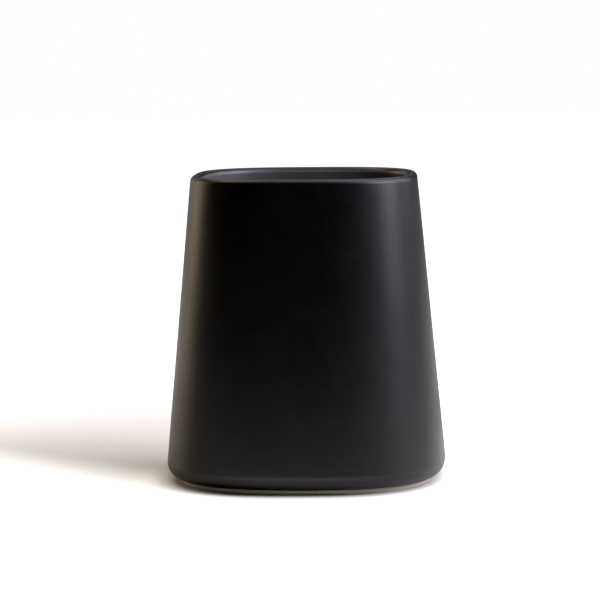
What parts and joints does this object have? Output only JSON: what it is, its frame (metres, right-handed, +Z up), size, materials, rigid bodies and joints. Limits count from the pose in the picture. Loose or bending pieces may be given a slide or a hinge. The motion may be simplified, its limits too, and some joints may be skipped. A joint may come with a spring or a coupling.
{
  "type": "candle jar",
  "caption": "Empty stoneware candle jar: squarish tapering pot in satin black glaze, open at the top, on a bare clay foot ring.",
  "frame": {"origin": "middle of the foot ring's underside, on the surface the jar stands on", "axes": "+Z up through the mouth; +X and +Y square to the jar's flatter faces"},
  "size_m": [0.0888, 0.0888, 0.097],
  "materials": {
    "bare_clay": "matte",
    "black_glaze_outside": "satin",
    "black_glaze_inside": "satin",
    "black_glaze_underside": "satin"
  },
  "bodies": {
    "root": {"clay_body": "bare_clay", "outer_glaze": "black_glaze_outside", "liner_glaze": "black_glaze_inside", "underside_glaze": "black_glaze_underside"}
  },
  "joints": []
}
